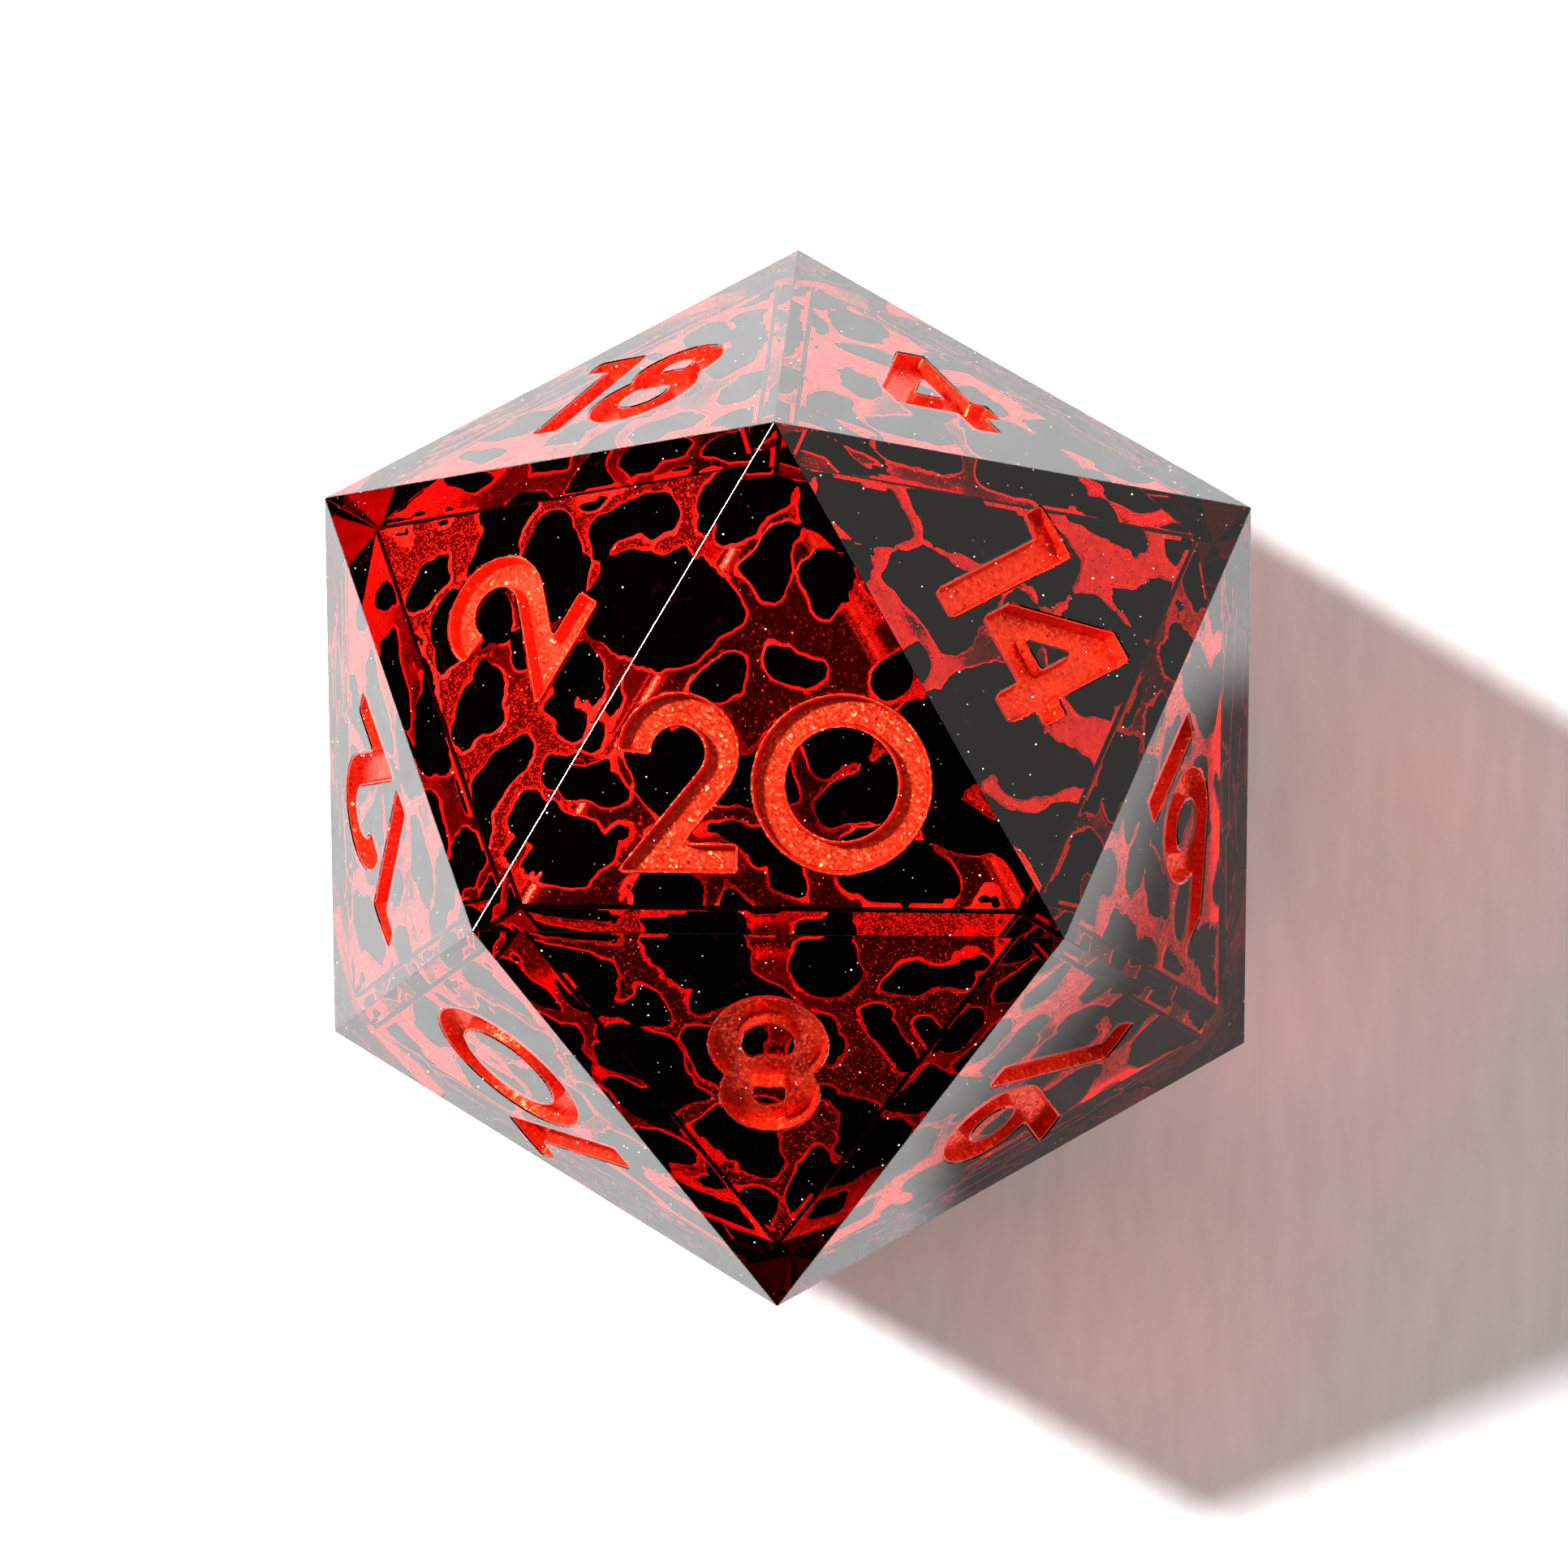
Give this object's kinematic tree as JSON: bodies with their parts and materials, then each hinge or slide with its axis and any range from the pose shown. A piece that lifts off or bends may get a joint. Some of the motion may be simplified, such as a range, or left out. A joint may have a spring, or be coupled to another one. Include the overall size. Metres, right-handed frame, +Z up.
{
  "type": "twenty-sided die",
  "caption": "Regular icosahedral die cast in clear tinted resin over a foil-wrapped core, with an engraved and painted numeral on every face.",
  "frame": {"origin": "middle of the bottom face, on the surface the die lies on", "axes": "+Z up through the middle of face 20, +Y from the middle of face 20 to the corner above its numeral, +X to the right as that numeral is read"},
  "size_m": [0.0214, 0.0246, 0.02],
  "materials": {
    "crimson_resin": "polished clear casting resin with a crimson tint",
    "black_resin": "satin black casting resin",
    "printed_foil": "red mirror foil with a glossy black crackle print",
    "numeral_paint": "red-orange paint with a fine metallic grain"
  },
  "bodies": {
    "root": {"base_pour": "crimson_resin", "core": "black_resin", "foil_panel_01": "printed_foil", "foil_panel_03": "printed_foil", "foil_panel_04": "printed_foil", "foil_panel_05": "printed_foil", "foil_panel_06": "printed_foil", "foil_panel_07": "printed_foil", "foil_panel_08": "printed_foil", "foil_panel_09": "printed_foil", "foil_panel_10": "printed_foil", "foil_panel_11": "printed_foil", "foil_panel_12": "printed_foil", "foil_panel_13": "printed_foil", "foil_panel_15": "printed_foil", "foil_panel_16": "printed_foil", "foil_panel_17": "printed_foil", "foil_panel_18": "printed_foil", "foil_panel_19": "printed_foil", "foil_strip_02_20_14": "printed_foil", "main_pour": "crimson_resin", "numeral_01_units": "numeral_paint", "numeral_02_units": "numeral_paint", "numeral_03_units": "numeral_paint", "numeral_04_units": "numeral_paint", "numeral_05_units": "numeral_paint", "numeral_06_underline": "numeral_paint", "numeral_06_units": "numeral_paint", "numeral_07_units": "numeral_paint", "numeral_08_units": "numeral_paint", "numeral_09_underline": "numeral_paint", "numeral_09_units": "numeral_paint", "numeral_10_tens": "numeral_paint", "numeral_10_units": "numeral_paint", "numeral_11_tens": "numeral_paint", "numeral_11_units": "numeral_paint", "numeral_12_tens": "numeral_paint", "numeral_12_units": "numeral_paint", "numeral_13_tens": "numeral_paint", "numeral_13_units": "numeral_paint", "numeral_14_tens": "numeral_paint", "numeral_14_units": "numeral_paint", "numeral_15_tens": "numeral_paint", "numeral_15_units": "numeral_paint", "numeral_16_tens": "numeral_paint", "numeral_16_units": "numeral_paint", "numeral_17_tens": "numeral_paint", "numeral_17_units": "numeral_paint", "numeral_18_tens": "numeral_paint", "numeral_18_units": "numeral_paint", "numeral_19_tens": "numeral_paint", "numeral_19_units": "numeral_paint", "numeral_20_tens": "numeral_paint", "numeral_20_units": "numeral_paint"}
  },
  "joints": []
}
